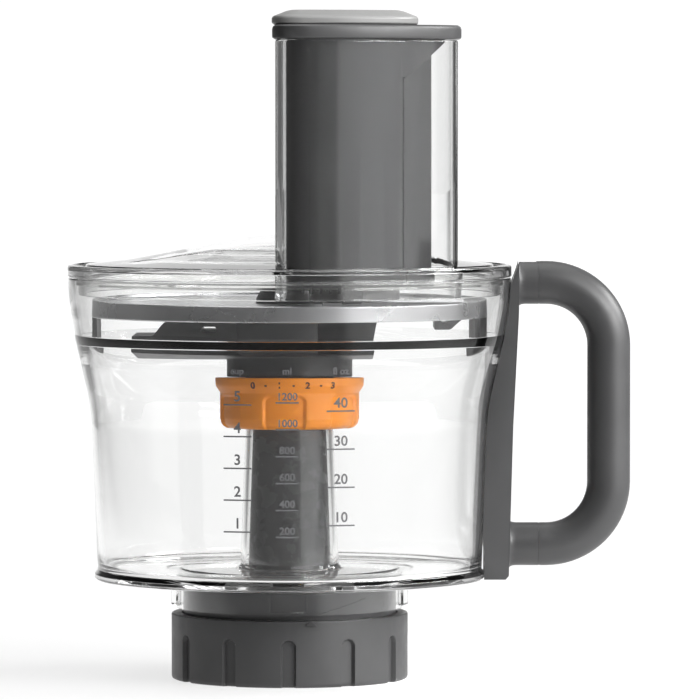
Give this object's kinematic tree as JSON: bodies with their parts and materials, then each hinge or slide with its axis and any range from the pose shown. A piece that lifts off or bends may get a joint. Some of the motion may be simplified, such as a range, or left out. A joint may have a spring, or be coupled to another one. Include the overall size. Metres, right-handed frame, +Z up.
{
  "type": "food processor attachment",
  "caption": "Clear food-processing bowl with loop handle, adjustable slicing disc on a drive shaft, and lid with feed tube and pushers, on a geared locking base for a stand mixer",
  "frame": {"origin": "centre of the input dog's flat end face, on the drive axis", "axes": "+Z up along the drive axis, +X towards the handle, -Y towards the front with the measuring scale"},
  "size_m": [0.2421, 0.191, 0.2867],
  "materials": {
    "dark_plastic": "satin moulded ABS, fine spark-eroded grain",
    "light_grey_plastic": "satin moulded plastic",
    "orange_plastic": "satin moulded plastic with dark printed scale",
    "clear_plastic": "clear polished copolyester",
    "gear_plastic": "natural acetal",
    "steel": "fine brushed stainless steel",
    "bronze": "sintered bronze",
    "rubber": "moulded rubber"
  },
  "bodies": {
    "base": {"base_collar": "dark_plastic", "gearbox_housing": "dark_plastic", "gearbox_cover": "dark_plastic", "ring_gear": "gear_plastic", "input_bush": "bronze", "output_bush": "bronze", "cover_screw_1": "steel", "cover_screw_2": "steel", "cover_screw_3": "steel"},
    "bowl": {"bowl": "clear_plastic", "bowl_neck": "clear_plastic", "handle_front": "dark_plastic", "handle_back": "dark_plastic", "handle_spine": "dark_plastic", "handle_screw_1": "steel", "handle_screw_2": "steel", "interlock_spring": "steel"},
    "input": {"input_dog": "steel", "sun_gear": "steel"},
    "drive": {"planet_carrier": "gear_plastic", "output_spindle": "steel", "planet_pin_1": "steel", "planet_pin_2": "steel", "planet_pin_3": "steel", "drive_shaft": "dark_plastic", "disc_hub": "dark_plastic", "slicing_disc": "steel", "slicing_blade": "steel"},
    "planet_1": {"planet_gear_1": "gear_plastic"},
    "planet_2": {"planet_gear_2": "gear_plastic"},
    "planet_3": {"planet_gear_3": "gear_plastic"},
    "dial": {"thickness_dial": "orange_plastic"},
    "ramp": {"ramp_plate": "dark_plastic"},
    "rod": {"interlock_rod": "steel"},
    "seal": {"lid_seal": "rubber"},
    "lid": {"lid": "clear_plastic"},
    "large_pusher": {"main_pusher": "dark_plastic"},
    "inner_pusher": {"small_pusher": "dark_plastic", "pusher_cap": "light_grey_plastic"}
  },
  "joints": [
    {"name": "disc_spin", "type": "hinge", "parent": "base", "child": "drive", "pos_m": [0, 0, 0.024], "axis": [0, 0, 1], "continuous": true},
    {"name": "input_spin", "type": "hinge", "parent": "base", "child": "input", "pos_m": [0, 0, 0.01], "axis": [0, 0, 1], "continuous": true},
    {"name": "planet_1_spin", "type": "hinge", "parent": "drive", "child": "planet_1", "pos_m": [0.024, 0, 0.0173], "axis": [0, 0, 1], "continuous": true},
    {"name": "planet_2_spin", "type": "hinge", "parent": "drive", "child": "planet_2", "pos_m": [-0.012, 0.02078, 0.0173], "axis": [0, 0, 1], "continuous": true},
    {"name": "planet_3_spin", "type": "hinge", "parent": "drive", "child": "planet_3", "pos_m": [-0.012, -0.02078, 0.0173], "axis": [0, 0, 1], "continuous": true},
    {"name": "dial_turn", "type": "hinge", "parent": "drive", "child": "dial", "pos_m": [0, 0, 0.116], "axis": [0, 0, 1], "range_deg": [0, 66]},
    {"name": "ramp_slide", "type": "slide", "parent": "drive", "child": "ramp", "axis": [0, 0, -1], "range_m": [0, 0.0041]},
    {"name": "bowl_turn", "type": "hinge", "parent": "base", "child": "bowl", "pos_m": [0, 0, 0.032], "axis": [0, 0, 1], "range_deg": [0, 25]},
    {"name": "rod_press", "type": "slide", "parent": "bowl", "child": "rod", "axis": [0.0652, 0, 0.9979], "range_m": [-0.003, 0], "stiffness_N_per_m": 400, "deforming": ["interlock_spring"]},
    {"name": "lid_lift", "type": "slide", "parent": "bowl", "child": "seal", "axis": [0, 0, 1], "range_m": [0, 0.045]},
    {"name": "lid_turn", "type": "hinge", "parent": "seal", "child": "lid", "pos_m": [0, 0, 0.17], "axis": [0, 0, 1], "range_deg": [0, 30]},
    {"name": "large_pusher_lift", "type": "slide", "parent": "lid", "child": "large_pusher", "axis": [0, 0, 1], "range_m": [0, 0.115]},
    {"name": "inner_pusher_lift", "type": "slide", "parent": "large_pusher", "child": "inner_pusher", "axis": [0, 0, 1], "range_m": [0, 0.12]}
  ],
  "couplings": [
    {"joint": "input_spin", "follows": "disc_spin", "ratio": 4},
    {"joint": "planet_1_spin", "follows": "disc_spin", "ratio": -3},
    {"joint": "planet_2_spin", "follows": "disc_spin", "ratio": -3},
    {"joint": "planet_3_spin", "follows": "disc_spin", "ratio": -3},
    {"joint": "ramp_slide", "follows": "dial_turn", "m_per_rad": 0.0034725}
  ]
}
